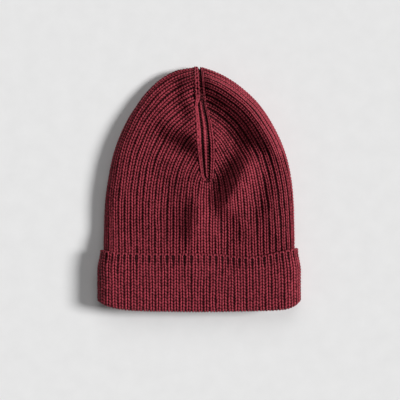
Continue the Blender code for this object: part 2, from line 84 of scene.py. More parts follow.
OUTLINE = (
    # up, left, right: shares of LENGTH and of HALF_WIDTH
    (0.000, 1.000, 1.000),
    (0.170, 1.000, 1.000),
    (0.330, 1.000, 1.000),
    (0.450, 0.987, 0.992),
    (0.560, 0.945, 0.960),
    (0.660, 0.885, 0.894),
    (0.760, 0.782, 0.776),
    (0.840, 0.657, 0.641),
    (0.905, 0.530, 0.474),
    (0.955, 0.383, 0.293),
    (0.985, 0.232, 0.128),
    (1.000, 0.000, 0.000),
)
FULLNESS = (
    # up, height: shares of LENGTH and of CROWN_THICK
    (0.20, 0.80),
    (0.32, 0.88),
    (0.48, 1.00),
    (0.70, 1.00),
    (0.86, 0.88),
    (1.00, 0.66),
)
SEAM = (
    # down, turn, left, right: shares of SEAM_LENGTH, SEAM_TURN and SEAM_WIDTH
    (0.00, 0.00, 0.28, 0.20),
    (0.15, 0.21, 0.38, 0.17),
    (0.36, 0.46, 0.46, 0.17),
    (0.50, 0.78, 0.58, 0.28),
    (0.65, 0.92, 0.64, 0.31),
    (0.80, 0.95, 0.55, 0.31),
    (0.93, 0.98, 0.42, 0.24),
    (1.00, 1.00, 0.00, 0.00),
)
FOLDS = (
    # name, three places of a bent line: shares of HALF_WIDTH across and of LENGTH up; then
    # height and reach to the line's left and right: shares of CROWN_THICK
    ("rim roll", 0.14, 0.935, 0.50, 0.850, 0.80, 0.670, 0.44, 0.54, 0.36),
    ("seam valley", 0.00, 0.880, 0.24, 0.770, 0.56, 0.645, -0.34, 0.36, 0.52),
    ("dart valley", 0.34, 0.660, 0.225, 0.568, 0.10, 0.465, -0.31, 0.34, 0.42),
    ("middle roll", 0.54, 0.615, 0.44, 0.530, 0.29, 0.425, 0.30, 0.38, 0.40),
    ("side valley", 0.72, 0.600, 0.68, 0.530, 0.60, 0.400, -0.19, 0.38, 0.36),
    ("seam ridge", -0.05, 0.962, -0.03, 0.850, 0.01, 0.670, 0.19, 0.44, 0.22),
    ("seam hump", -0.30, 0.765, -0.12, 0.728, 0.04, 0.690, 0.16, 0.36, 0.45),
    ("left hollow", -0.38, 0.695, -0.22, 0.668, -0.06, 0.635, -0.20, 0.40, 0.36),
    ("top hollow", -0.24, 0.955, -0.24, 0.885, -0.18, 0.815, -0.14, 0.50, 0.30),
    ("left dent", -0.47, 0.560, -0.34, 0.440, -0.42, 0.345, -0.10, 0.45, 0.55),
    ("front roll", 0.02, 0.435, -0.05, 0.325, -0.08, 0.170, 0.28, 0.34, 0.42),
    ("right hollow", 0.30, 0.360, 0.31, 0.300, 0.30, 0.220, -0.19, 0.36, 0.50),
)
FOLD_IN_CUFF = 0.35        # share of a fold's height that is left under the cuff
FOLD_END = 0.45            # share of CROWN_THICK over which a fold runs out at its ends
CUFF_EDGE = (
    # across, rise: shares of HALF_WIDTH and of CUFF_HEIGHT
    (-1.00, 0.050),
    (-0.85, 0.016),
    (-0.50, 0.000),
    (0.00, 0.000),
    (0.22, -0.016),
    (0.50, -0.064),
    (0.70, -0.026),
    (0.86, 0.032),
    (1.00, 0.080),
)

# The knitting, in metres
ROW = 0.00308              # one row of stitches
RIB_PITCH = 0.0060         # width of a rib that a full-size stitch fills
LEG_LENGTH = 0.0053        # one leg of a stitch, along its yarn
LEG_WIDTH = 0.0024
LEG_THICK = 0.0023
LEG_OUT = 0.00145          # middle of a leg from the middle of its rib
LEG_SIDES, LEG_RINGS = 6, 7
GROOVE_FROM = 0.62         # share of the way out from a rib's middle where the painted shade of its groove begins
GROOVE_SHADE = 0.48         # how much more painted shade the yarn gets there
UNEVEN = 0.00024           # how far a stitch strays along its rib
WOBBLE = 0.00024           # how far a rib strays to the sides
WOBBLE_ROWS, SLACK_ROWS = 4, 10  # rows from one chance place, or width, of a rib to the next
CROWN_SLACK = 0.03         # how far a rib pulls in or spreads, as a share of its width
CUFF_SLACK = 0.02          # the same in the cuff and along the seam
LEG_SLACK = (0.94, 1.06)   # thinnest and fullest leg, as shares of the usual one
WIDEST = 1.30              # times its usual width that a stitch is drawn out to
RIM_PULL = 0.22            # share by which the ribs over the right edge pull in
RIM_RIB, RIM_REACH = 14, 8  # the rib that pulls in most, and how many beside it do
RIM_STRETCH = 0.2          # a rib pulls in fully when it is so much short of the widest
UNDER_CUFF_ROWS = 2        # rows of the crown that the cuff hides
OVER_SEAM = 0.0004         # how far the crown's ribs run on into the seam
GRID_STEPS, WALL_STEPS = 150, 110  # places along a column, for the ribs and for their wall
FOLD_SHADING_RISE = 0.0090         # height of a fold at which its yarn is painted fully light on a roll, or fully dark in a dent
BACKING_DEPTH = 0.0016     # of the wall behind the stitches, below the ribs' tops
BACKING_THICK = 0.0004
OFF_FLOOR = 0.00002        # least height of a point above the floor
TILE_EDGE = 0.06           # share of a tile of the baked sheet that stays empty on each side

# The cuff's knitting, in metres
CUFF_FULL = 1.06           # the cuff's ribs lie fuller and closer than the crown's
LIP_STEPS, CUFF_STEPS, HEM_STEPS, INSIDE_STEPS = 10, 40, 14, 24  # along a line of the cuff
LIP_RADIUS = 0.0016        # the cuff's rolled upper edge
LIP_TURN = (150, 12)       # degrees that the roll turns through, from straight outwards
LIP_CROWDING = 0.00001     # between the outside's places that would lie above the roll
HEM_TURN = (0, 180)        # degrees, from the outside round the fold to the inside
INSIDE_LENGTH = 0.042      # how far into the mouth the inside's stitches go
ARCH_AT = 0.0036           # the cast-on arches, from the start of the cuff's lines
BEHIND_AT = 0.0014         # the legs behind them
FIRST_ROW_AT = 0.0051
SLOT = (0.17, 0.30)        # share by which the first rows are narrower, least and most
SLOT_FROM = 0.007          # where the ribs start to widen
SLOT_LENGTH = 0.009        # and the length over which they do

# The seam's knitting, in metres
SEAM_SINK = 0.0018         # depth of the wall under the seam's crease
SEAM_STEPS = 240
SEAM_UPRIGHT = 0.15        # how much of the band's outward direction its ribs take on
YARN_FITS = 0.0014         # narrowest rib along the seam
LEAST_REACH = 0.0001       # of the band to one side, for its direction
CREASE_SHARES = (0.2, 0.8)  # of the band, between which the crease stays
CREASE_WIDTH = 0.0012      # dark gap of the crease
CREASE_ROOM = 0.6 * CREASE_WIDTH  # that the main rib keeps to the crease near the top
MAIN_ASIDE = 0.46          # share of the band's left half that it leaves free farther down
MAIN_OVER = 0.0003         # how far it runs over the ends of the crown's ribs
RIGHT_RIB = 0.0052         # widest that the rib right of the crease gets
NARROW_GAPS = 1.7 * CREASE_WIDTH  # on both sides of the narrow rib together
NARROW_ASIDE = 0.2 * CREASE_WIDTH  # from the middle of its room
CHAIN_LENGTH = 0.0310      # of the small loops at the seam's upper end
CHAIN_END = 0.004          # length over which the main rib then moves aside
LOOP_LENGTH = 0.0056       # one loop of the chain
LOOP_WIDE = 0.9            # share of the main rib's width that a loop fills
LOOP_PROUD = np.array((0, 0, 0.0005))
SMOOTH_DARK = 0.05         # how much darker the main rib's yarn is painted
BUMPS_AT = (-0.20, 0.12, 0.40)  # rows of purl bumps, as shares of the band from its middle
BUMP_SINK = np.array((0, 0, 0.0015))
BUMP_SHADE = 0.36           # how much extra painted shade the purl bumps get, deep in the crease

STRANDS = {
    # length, width, thickness, slant in degrees, out from the rib's middle, tuck of the tips
    "rib leg": (LEG_LENGTH, LEG_WIDTH, LEG_THICK, 19, LEG_OUT, 0.00095),
    "cast-on arch": (LEG_LENGTH * 0.91, LEG_WIDTH, LEG_THICK, -34, 0.00185, 0.0003),
    "leg behind arch": (LEG_LENGTH * 0.74, LEG_WIDTH * 0.9, LEG_THICK, 62, 0.00150, 0.0002),
    "smooth leg": (LEG_LENGTH * 0.98, LEG_WIDTH * 1.25, LEG_THICK * 1.2, 8, LEG_OUT * 0.75, 0.0002),
    "narrow leg": (LEG_LENGTH * 0.83, RIB_PITCH * 1.05, LEG_THICK, 12, 0.0, 0.0003),
    "upper loop": (0.0041, 0.0024, LEG_THICK, 30, 0.00135, 0.0002),
    "lower loop": (0.0041, 0.0024, LEG_THICK, -30, 0.00135, 0.0002),
    "purl bump": (RIB_PITCH * 0.40, 0.0027, 0.0020, 90, 0.0, 0.0014),
}
FULLER = (
    # share of a strand's length from its middle, and how many times wider beyond it
    (0.40, 1.22),
    (0.20, 1.08),
)
TIP = 0.495                # the two poles lie beyond it and stay where they are
TUCK = (
    # the same share, and the share of its tuck that it sinks beyond it
    (0.20, 0.4),
    (0.40, 0.6),
)

# Ribs counted from the front seam to the right
FRONT_RIGHT, BACK_RIGHT = range(0, 18), range(18, 35)
BACK_LEFT, FRONT_LEFT = range(35, 52), range(52, RIBS)
QUARTERS = (("front_right", FRONT_RIGHT), ("back_right", BACK_RIGHT),
            ("back_left", BACK_LEFT), ("front_left", FRONT_LEFT))
HALVES = (("front", (*FRONT_RIGHT, *FRONT_LEFT)), ("back", (*BACK_RIGHT, *BACK_LEFT)))

# Colours of the finishes, and the scales of their patterns, in so many to the metre
# The yarn is blended between its dark and light colours. Painted shade pulls it towards the dark
# one, and painted light on the folds' rolls pulls it towards the light one.
YARN_DARK = (0.048, 0.002, 0.004, 1)
YARN_LIGHT = (0.325, 0.038, 0.058, 1)
YARN_TINT = (1.0, 0.42, 0.48, 1)
# The backing's colours are the yarn painted much darker, as painted shade between the ribs.
BACKING_SHADE_DARK = (0.010, 0.001, 0.002, 1)
BACKING_SHADE_LIGHT = (0.075, 0.008, 0.013, 1)
FLOOR_DARK = (0.76, 0.76, 0.76, 1)
FLOOR_LIGHT = (0.82, 0.82, 0.82, 1)
DYE_PATCHES = 45.0
FUZZ = 2600.0
PURL_FIBRES = 1500.0
FLOOR_GRAIN = 60.0
PLIES_ROUND, PLIES_ALONG = 3.0, 1.8  # plies round a leg, and their turns along it
FIBRES = 1.6               # scale of the fibres on a leg that is laid out as the next line says
FIBRES_ROUND, FIBRES_WIND, FIBRES_ALONG = 26.0, 15.0, 5.0
FIBRES_APART = 40.0        # so that no two legs have the same fibres
YARN_RELIEF = 0.0003       # depth of the plies and fibres, in metres
PURL_RELIEF = 0.0011

# Camera, floor and light
CAMERA_HEIGHT = 1.2
PIXEL = 0.001032           # what a photo's pixel shows at the height of the hat's side edge
PHOTO_PIXELS = 400
FRAME_MIDDLE = (0.0009, -0.0116)  # place of the photo's middle
SENSOR = 36
FLOOR_SIZE = 8
LAMPS = (
    # name, strength, softness, height above the floor and turn from +X, in degrees
    ("window", 3.95, 18, 35, 5),
    ("ceiling", 0.66, 45, 50, 85),
)
ROOM_LIGHT = 0.12


def ease(t):
    """0 up to 0, 1 from 1 on, and a smooth rise between."""
    t = np.clip(t, 0.0, 1.0)
    return t * t * (3.0 - 2.0 * t)


def spline(knots, values):
    """Natural cubic curve through the values at the knots, as a function."""
    knots = np.asarray(knots, float)
    values = np.asarray(values, float)
    gaps = np.diff(knots)
    size = len(knots)
    matrix = np.eye(size)
    right = np.zeros((size,) + values.shape[1:])
    for i in range(1, size - 1):
        matrix[i, i - 1:i + 2] = gaps[i - 1], 2 * (gaps[i - 1] + gaps[i]), gaps[i]
        rise = (values[i + 1] - values[i]) / gaps[i] - (values[i] - values[i - 1]) / gaps[i - 1]
        right[i] = 6 * rise
    bend = np.linalg.solve(matrix, right)

    def curve(at):
        at = np.clip(at, knots[0], knots[-1])
        i = np.clip(np.searchsorted(knots, at) - 1, 0, size - 2)
        gap = gaps[i]
        before = knots[i + 1] - at
        after = at - knots[i]
        if values.ndim > 1:
            gap, before, after = gap[..., None], before[..., None], after[..., None]
        ends = bend[i] * before ** 3 / (6 * gap) + bend[i + 1] * after ** 3 / (6 * gap)
        start = (values[i] / gap - bend[i] * gap / 6) * before
        return ends + start + (values[i + 1] / gap - bend[i + 1] * gap / 6) * after

    return curve


def sums(steps):
    """Sums of the steps before each place, from 0 on."""
    return np.concatenate([[0], np.cumsum(steps)])


def column(table, index):
    return np.array([row[index] for row in table])


def unit(vectors):
    return vectors / np.maximum(np.linalg.norm(vectors, axis=-1, keepdims=True), 1e-12)


fullness = spline(column(FULLNESS, 0), column(FULLNESS, 1))
seam_turn = spline(column(SEAM, 0), column(SEAM, 1))


def up_share(y):
    return (y + HALF_LENGTH) / LENGTH


def above_cuff(y):
    """0 beside the cuff, and 1 from where the crown has come down to the floor."""
    return ease((y + HALF_LENGTH - CUFF_HEIGHT) / LEAVE_CUFF)


def side_edge(y):
    inside = CUFF_THICK / 2
    return inside + (EDGE_LIFT - inside) * above_cuff(y)


def upper_face(x, y):
    inside = CUFF_THICK - CUFF_OUT
    lower = 1 - LEFT_LOW * ease((LOW_FROM - x / HALF_WIDTH) / LOW_OVER)
    return inside + (CROWN_THICK * fullness(up_share(y)) * lower - inside) * above_cuff(y)


def top_round(x, y):
    outside = LEFT_ROUND + (TOP_ROUND - LEFT_ROUND) * ease((1 + x / HALF_WIDTH) / 2)
    return CUFF_ROUND + (outside - CUFF_ROUND) * above_cuff(y)


def quarter_round(share):
    return np.sqrt(np.clip(1 - (1 - np.clip(share, 0, 1)) ** 2, 0, 1))


def flared(x, y):
    leaving = (y + HALF_LENGTH) / CUFF_HEIGHT
    return x + CUFF_FLARE * (x / HALF_WIDTH) ** 3 * (1 - ease((leaving - FLARE_TO) / FLARE_END))


def bow(first, middle, last, steps):
    """A curve through a first, a middle and a last value."""
    return ((1 - steps) ** 2 * first + 2 * steps * (1 - steps) * (2 * middle - (first + last) / 2)
            + steps ** 2 * last)


def fold_height(x, y):
    """Rise of the upper face at a place in plan, from the table of folds."""
    total = np.zeros(np.shape(x))
    steps = np.linspace(0, 1, FOLD_STEPS)
    for _, x1, y1, x2, y2, x3, y3, height, left, right in FOLDS:
        line_x = HALF_WIDTH * bow(x1, x2, x3, steps)
        line_y = LENGTH * bow(y1, y2, y3, steps) - HALF_LENGTH
        best = np.full(np.shape(x), np.inf)
        rise = np.zeros(np.shape(x))
        for i in range(len(steps) - 1):
            along_x, along_y = line_x[i + 1] - line_x[i], line_y[i + 1] - line_y[i]
            length = np.hypot(along_x, along_y)
            off_x, off_y = x - line_x[i], y - line_y[i]
            along = (off_x * along_x + off_y * along_y) / length
            over = np.where(along < 0, -along, np.maximum(along - length, 0))
            side = (off_x * along_y - off_y * along_x) / length
            downward = side if along_y > 0 else -side
            reach = np.where(downward > 0, right, left) * CROWN_THICK
            far = side ** 2 + over ** 2
            fade = (side / reach) ** 2 + (over / (FOLD_END * CROWN_THICK)) ** 2
            rise = np.where(far < best, height * CROWN_THICK * np.exp(-fade), rise)
            best = np.minimum(far, best)
        total += rise
    return total * (FOLD_IN_CUFF + (1 - FOLD_IN_CUFF) * above_cuff(y))


def crown_height(x, y, inward, front):
    edge = side_edge(y)
    over = quarter_round(inward / top_round(x, y))
    folds = fold_height(x, y) * ease(inward / CUFF_ROUND)
    top = edge + (upper_face(x, y) - edge) * over + folds
    lowest = (1 - above_cuff(y)) * CUFF_OUT
    under = edge - (edge - lowest) * quarter_round(inward / UNDER_ROUND)
    return np.where(front, top, under)


def hem_line(x):
    across = np.clip(np.abs(x) / (HALF_WIDTH + CUFF_FLARE), 0, 1)
    corner = np.where(x > 0, across ** RIGHT_TIGHT, across ** LEFT_TIGHT)
    return -HALF_LENGTH + HEM_BOW * across ** 2 + HEM_CORNER * corner


def cuff_edge_line(x, front):
    across = x / HALF_WIDTH
    rise = np.interp(across, column(CUFF_EDGE, 0), column(CUFF_EDGE, 1))
    ends = np.where(across > 0, CUFF_EDGE[-1][1], CUFF_EDGE[0][1])
    plain = ends * np.clip(np.abs(across), 0, 1) ** EDGE_TIGHT
    return -HALF_LENGTH + CUFF_HEIGHT * (1 + np.where(front, rise, plain))


def guide():
    """The right side edge from the hem to the top: places, inward directions, shares of the way."""
    across = column(OUTLINE, 2) * HALF_WIDTH
    knots = np.stack([across, column(OUTLINE, 0) * LENGTH - HALF_LENGTH], 1)
    chords = sums(np.hypot(*np.diff(knots, axis=0).T))
    way = np.linspace(0, chords[-1], ROUTE_STEPS)
    place = spline(chords, knots)(way)
    along = unit(np.gradient(place, way, axis=0))
    return place, np.stack([-along[:, 1], along[:, 0]], 1), way / way[-1]


def seam_place(y, front):
    down = (HALF_LENGTH - y) / SEAM_LENGTH
    return np.where(front, 1, -1) * SEAM_TURN * seam_turn(np.clip(down, 0, 1))


def spread_left(x, y, front):
    """Places of the right side, drawn out to the fuller outline of the left."""
    more = column(OUTLINE, 1) - column(OUTLINE, 2)
    widths = np.interp(up_share(y), column(OUTLINE, 0), column(OUTLINE, 2)) * HALF_WIDTH
    crease = -seam_place(y, front)
    share = np.clip((x - crease) / np.maximum(widths - crease, WALL), 0, 1)
    return x + share * HALF_WIDTH * np.interp(up_share(y), column(OUTLINE, 0), more)


def arc_table(width, height):
    turn = np.linspace(0, np.pi / 2, ARC_STEPS)
    inward = np.append(width * (1 - np.cos(turn)), CROWN_WIDTH)
    rise = height * quarter_round(inward / width)
    return inward, sums(np.hypot(np.diff(inward), np.diff(rise)))


def reach_to_middle(place, inward, line):
    """How far inwards from each place of the side edge the line of the seam lies."""
    reach = (place[:, 0] - line) / np.maximum(-inward[:, 0], 0.5)
    last = np.argmax(place[:, 1] + inward[:, 1] * reach > DART_Y + WALL)
    reach[last:] = reach[last]
    return reach


def distance_in(share, table, reach):
    """How far inwards a rib lies that has its share of the surface from the edge to the seam."""
    inward, length = table
    far = np.interp(share * np.interp(reach[0], inward, length), length, inward)
    return far + (reach - reach[0])[:, None] * share ** 8


def seam_steps(side, x, y, front):
    """The step, with its fraction, at which each route comes to the seam's edge."""
    down = np.clip((HALF_LENGTH - y) / SEAM_LENGTH, 0, 1)
    reach = SEAM_WIDTH * np.interp(down, column(SEAM, 0), column(SEAM, 3 if side > 0 else 2))
    clear = side * (x - seam_place(y, front)) - reach
    clear = np.where(y < DART_Y, np.maximum(clear, DART_Y - y), clear)
    ends = np.zeros(len(x))
    for row, values in enumerate(clear):
        inside = np.nonzero(values <= 1e-7)[0]
        last = inside[0] if len(inside) else len(values) - 1
        before = max(last - 1, 0)
        fall = values[before] - values[last]
        ends[row] = before + (values[before] / fall if fall > 0 else 1)
    return ends


def rib_routes(around):
    """Plan of the ribs at shares around from the front seam to the right.

    Each keeps its distance to the side edge and ends on the seam.
    """
    count = len(around)
    x, y, inward = (np.zeros((count, ROUTE_STEPS)) for _ in range(3))
    front = np.zeros((count, ROUTE_STEPS), bool)
    ends = np.zeros(count)
    turn = SEAM_TURN / (2 * CROWN_WIDTH)
    edge_place, edge_inward, way = guide()
    over = arc_table(TOP_ROUND, CROWN_THICK - EDGE_LIFT)
    below = arc_table(UNDER_ROUND, EDGE_LIFT)
    for side in (1, -1):
        rows = np.nonzero(around <= 0.5 if side > 0 else around > 0.5)[0]
        from_front = around[rows] if side > 0 else 1 - around[rows]
        edge = (0.25 - side * turn * (1 - ease(way)))[:, None]
        reach_top = reach_to_middle(edge_place, edge_inward, side * SEAM_TURN)
        reach_under = reach_to_middle(edge_place, edge_inward, -side * SEAM_TURN)
        far_top = distance_in(np.clip(1 - from_front / edge, 0, 1), over, reach_top)
        behind = np.clip((from_front - edge) / (0.5 - edge), 0, 1)
        far_under = distance_in(behind, below, reach_under)
        front[rows] = (from_front <= edge).T
        inward[rows] = np.where(front[rows], far_top.T, far_under.T)
        x[rows] = edge_place[:, 0] + inward[rows] * edge_inward[:, 0]
        y[rows] = edge_place[:, 1] + inward[rows] * edge_inward[:, 1]
        if side < 0:
            x[rows] = -spread_left(x[rows], y[rows], front[rows])
        ends[rows] = seam_steps(side, x[rows], y[rows], front[rows])
    return flared(x, y), y, inward, front, ends


def take(values, steps):
    """Values along the routes at fractional steps, one array of steps for each route."""
    low = np.clip(np.floor(steps).astype(int), 0, ROUTE_STEPS - 2)
    share = steps - low
    rows = np.arange(len(values))[:, None]
    return values[rows, low] * (1 - share) + values[rows, low + 1] * share


class Knit:
    """The knit's smooth surface as columns that run from the hem up to the seam."""

    def __init__(self):
        around = np.arange(COLUMNS) / COLUMNS
        self.x, self.y, self.inward, self.front, self.ends = rib_routes(around)
        self.steps = np.arange(ROUTE_STEPS)
        first_x, first_front = self.x[:, 0], self.front[:, 0]
        self.seat = hem_line(first_x) + FOLD_RADIUS + SEAM_GAP
        self.edge = cuff_edge_line(first_x, first_front)

    def grid(self, wanted):
        """Places at the wanted steps of each column."""
        x, y, inward = (take(values, wanted) for values in (self.x, self.y, self.inward))
        front = take(self.front.astype(float), wanted) > 0.5
        return np.stack([x, y, crown_height(x, y, inward, front)], 2)

    def levels(self, shares):
        """Places at shares of the way from the seat in the hem to the cuff's edge."""
        wanted = [np.interp(low + shares * (high - low), y, self.steps)
                  for low, high, y in zip(self.seat, self.edge, self.y)]
        return self.grid(np.array(wanted))

    def above(self, count, hidden):
        """Places from a length hidden by the cuff up to the seam, evenly along each column."""
        wanted = []
        for i in range(COLUMNS):
            begin = np.interp(max(self.edge[i] - hidden, self.seat[i]), self.y[i], self.steps)
            run = np.hypot(np.gradient(self.x[i]), np.gradient(self.y[i]))
            length = sums(run[:-1])
            first, last = np.interp([begin, self.ends[i]], self.steps, length)
            wanted.append(np.interp(np.linspace(first, last, count), length, self.steps))
        return self.grid(np.array(wanted))


def outward(grid):
    """Directions square to the surface of a grid."""
    across = np.roll(grid, -1, 0) - np.roll(grid, 1, 0)
    return unit(np.cross(across, np.gradient(grid, axis=1)))


def section_outward(grid):
    """The same within the hat's cross sections, which keeps them upright."""
    across = np.roll(grid, -1, 0) - np.roll(grid, 1, 0)
    return unit(np.stack([-across[:, :, 2], np.zeros(across.shape[:2]), across[:, :, 0]], 2))


def lengths_along(places):
    """How far along a line of places each of them lies."""
    return sums(np.linalg.norm(np.diff(places, axis=0), axis=1))


class Path:
    """A line on the knit that a column of stitches follows, with its directions and width."""

    def __init__(self, places, out, widths, across=None):
        along = unit(np.gradient(places, axis=0))
        self.out = unit(out - along * np.sum(along * out, 1)[:, None])
        self.across = np.cross(along, self.out) if across is None else across
        self.places = places
        self.widths = widths
        self.lengths = lengths_along(places)
        self.length = self.lengths[-1]

    def lay(self, shape, at, width=1.0, aside=0.0):
        """The shape's points at each length along the path, one copy a row."""
        way = np.asarray(at)[:, None] + shape[None, :, 1]
        low = np.clip(np.searchsorted(self.lengths, way) - 1, 0, len(self.lengths) - 2)
        share = (way - self.lengths[low]) / (self.lengths[low + 1] - self.lengths[low])

        def between(values):
            part = share[..., None] if values.ndim > 1 else share
            return values[low] * (1 - part) + values[low + 1] * part

        side = shape[None, :, 0] * between(self.widths) * width + aside
        rise = np.broadcast_to(shape[None, :, 2], side.shape)
        return (between(self.places) + between(self.across) * side[..., None]
                + between(self.out) * rise[..., None])


def rib_paths(grid, out, slanted=False):
    """A path up the middle of each rib of a grid of columns.

    Its rows of stitches are square to it, or slanted as the grid's own rows are.
    """
    paths = []
    for rib in range(RIBS):
        middle, before, after = 2 * rib + 1, 2 * rib, (2 * rib + 2) % COLUMNS
        beside = grid[after] - grid[before]
        along = unit(np.gradient(grid[middle], axis=0))
        across = np.cross(along, out[middle])
        square = np.sum(beside * across, 1)
        widths, slant = np.minimum(np.abs(square) / RIB_PITCH, WIDEST), None
        if slanted:
            widths = np.linalg.norm(beside, axis=1) / RIB_PITCH
            slant = unit(beside * np.sign(square)[:, None])
        paths.append(Path(grid[middle], out[middle], widths, slant))
    return paths


def deselect():
    if bpy.context.object and bpy.context.object.mode != "OBJECT":
        bpy.ops.object.mode_set(mode="OBJECT")
    bpy.ops.object.select_all(action="DESELECT")


def pick(chosen):
    """Select the points of the mesh in edit mode for which the test holds."""
    mesh = bmesh.from_edit_mesh(bpy.context.object.data)
    bpy.ops.mesh.select_all(action="DESELECT")
    mesh.verts.ensure_lookup_table()
    for vert in mesh.verts:
        vert.select = chosen(vert.co)
    mesh.select_flush(True)
    bmesh.update_edit_mesh(bpy.context.object.data)


def new_object(name, data):
    thing = bpy.data.objects.new(name, data)
    bpy.context.scene.collection.objects.link(thing)
    return thing


def new_piece(name, points, faces):
    mesh = bpy.data.meshes.new(name)
    mesh.from_pydata(points, [], faces)
    return new_object(name, mesh)


def in_order(faces, uvs):
    """The same triangles in an order that is alike in every run, which Blender's own isn't."""
    rows = np.arange(len(faces))[:, None]
    corners = (np.argmin(faces, 1)[:, None] + np.arange(3)) % 3
    faces, uvs = faces[rows, corners], uvs[rows, corners]
    order = np.lexsort(faces.T)
    return faces[order], uvs[order]


class Strand:
    """One short length of yarn, modelled once and then copied: points, triangles and UVs."""

    def __init__(self, length, width, thick, slant, out, tuck):
        deselect()
        bpy.ops.mesh.primitive_uv_sphere_add(segments=LEG_SIDES, ring_count=LEG_RINGS, radius=0.5,
                                             rotation=(math.pi / 2, 0, 0))
        bpy.ops.object.transform_apply(location=False, rotation=True, scale=False)
        bpy.ops.object.mode_set(mode="EDIT")
        for near, fuller in FULLER:
            pick(lambda co: near < abs(co.y) < TIP)
            bpy.ops.transform.resize(value=(fuller, 1, fuller), center_override=(0, 0, 0))
        bpy.ops.mesh.select_all(action="SELECT")
        bpy.ops.transform.resize(value=(width, length, thick), center_override=(0, 0, 0))
        for end in (-1, 1):
            for near, share in TUCK:
                pick(lambda co: end * co.y > near * length)
                bpy.ops.transform.translate(value=(0, 0, -share * tuck))
        bpy.ops.mesh.select_all(action="SELECT")
        bpy.ops.transform.rotate(value=math.radians(slant), orient_axis="Z",
                                 center_override=(0, 0, 0))
        bpy.ops.transform.translate(value=(out, 0, -thick / 2))
        bpy.ops.mesh.quads_convert_to_tris()
        bpy.ops.object.mode_set(mode="OBJECT")
        model = bpy.context.object
        mesh = model.data
        self.points = np.array([vert.co[:] for vert in mesh.vertices])
        faces = np.array([face.vertices[:] for face in mesh.polygons])
        uvs = np.array([corner.uv[:] for corner in mesh.uv_layers[0].data]).reshape(-1, 3, 2)
        self.faces, self.uvs = in_order(faces, uvs)
        bpy.data.objects.remove(model)

    def depth(self):
        """How deep each point lies, for its painted shade: 0 on the yarn's top, 1 at its bottom,
        more beside a groove.
        """
        height = self.points[:, 2]
        aside = np.abs(self.points[:, 0])
        groove = np.clip((aside / aside.max() - GROOVE_FROM) / (1 - GROOVE_FROM), 0, 1)
        return (height.max() - height) / np.ptp(height) + GROOVE_SHADE * groove

    def mirrored(self):
        """The same strand on the other side of the rib."""
        other = object.__new__(Strand)
        other.points = self.points * (-1, 1, 1)
        other.faces = self.faces[:, ::-1]
        other.uvs = self.uvs[:, ::-1]
        return other


def pair(name):
    """The strand of that name, on the right of a rib and on its left."""
    right = Strand(*STRANDS[name])
    return right, right.mirrored()


class Stitches:
    """Many copies of strands, joined in one piece."""

    def __init__(self):
        self.points, self.faces, self.uvs, self.copies, self.painted_shades = [], [], [], [], []
        self.count = 0

    def add(self, strand, places, extra_shade=0.0):
        """Copies of a strand with their points at the given places, and so much more painted shade.
        """
        copies, size = places.shape[:2]
        starts = self.count + size * np.arange(copies)
        self.points.append(places.reshape(-1, 3))
        self.faces.append((strand.faces[None] + starts[:, None, None]).reshape(-1, 3))
        self.uvs.append(np.tile(strand.uvs.reshape(-1, 2), (copies, 1)))
        self.copies.append(np.repeat(size, copies))
        self.painted_shades.append(np.tile(strand.depth() + extra_shade, copies))
        self.count += copies * size

    def lay_out(self, mesh, copy_of_face, count):
        """Two UV maps: the yarn's own, alike on all copies, and a sheet with a tile for each."""
        uvs = np.concatenate(self.uvs)
        mesh.uv_layers.new(name="yarn").data.foreach_set("uv", uvs.ravel())
        side = math.ceil(math.sqrt(count))
        copy_of_corner = np.repeat(copy_of_face, 3)
        tile = np.stack([copy_of_corner % side, copy_of_corner // side], 1)
        places = (tile + TILE_EDGE + (1 - 2 * TILE_EDGE) * uvs) / side
        mesh.uv_layers.new(name="OFBake").data.foreach_set("uv", places.ravel())

    def piece(self, name, finish):
        """All the copies as one piece, with what its finish reads: tone at random, painted shade by
        depth, and painted light and shade by the folds' height.
        """
        points = np.concatenate(self.points)
        points[:, 2] = np.maximum(points[:, 2], OFF_FLOOR)
        faces = np.concatenate(self.faces)
        sizes = np.concatenate(self.copies)
        copy_of_point = np.repeat(np.arange(len(sizes)), sizes)
        piece = new_piece(name, points, faces)
        piece.data.shade_smooth()
        self.lay_out(piece.data, copy_of_point[faces[:, 0]], len(sizes))
        # Tone is the yarn's own and at random. The other two are painted shade low on each leg and
        # beside its grooves, and painted light on the folds' rolls with painted shade in their
        # dents.
        looks = (("tone", rng.uniform(0, 1, len(sizes))[copy_of_point]),
                 ("deep", np.concatenate(self.painted_shades)),
                 ("fold_light_and_shade", fold_shading(points, sizes)[copy_of_point]))
        for look, values in looks:
            piece.data.attributes.new(look, "FLOAT", "POINT").data.foreach_set("value", values)
        piece.data.materials.append(finish)
        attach(piece, "root")
        return piece


def fold_shading(points, sizes):
    """Painted light and shade of each copy, from the height of the fold that it lies on: lighter on
    a roll, darker in a dent.
    """
    x, y, z = (np.add.reduceat(points, sums(sizes[:-1])) / sizes[:, None]).T
    return np.clip(fold_height(x, y) * (z > side_edge(y)) / FOLD_SHADING_RISE, -1, 1)


def wall_faces(grid):
    """Faces between the columns of a grid closed around, with their corners in ribs and rows."""
    count = grid.shape[1]
    steps = np.linalg.norm(np.diff(grid, axis=1), axis=2)
    row = np.concatenate([np.zeros((COLUMNS, 1)), np.cumsum(steps, 1)], 1) / ROW
    faces, corners = [], []
    for i in range(COLUMNS):
        after = (i + 1) % COLUMNS
        here, beside = i * count, after * count
        for k in range(count - 1):
            faces.append((here + k, beside + k, beside + k + 1, here + k + 1))
            corners += [(i / 2, row[i, k]), (i / 2 + 0.5, row[after, k]),
                        (i / 2 + 0.5, row[after, k + 1]), (i / 2, row[i, k + 1])]
    return faces, corners


def closing_faces(count, line):
    """Faces from the ends of the columns on both sides to the points of a middle line."""
    faces = []
    for i in range(HALF):
        for side in (1, -1):
            here, beside = side * i % COLUMNS * count, side * (i + 1) % COLUMNS * count
            corners = [here + count - 1, beside + count - 1, line[i + 1], line[i]]
            corners = list(dict.fromkeys(corners))
            faces.append(corners if side > 0 else corners[::-1])
    return faces


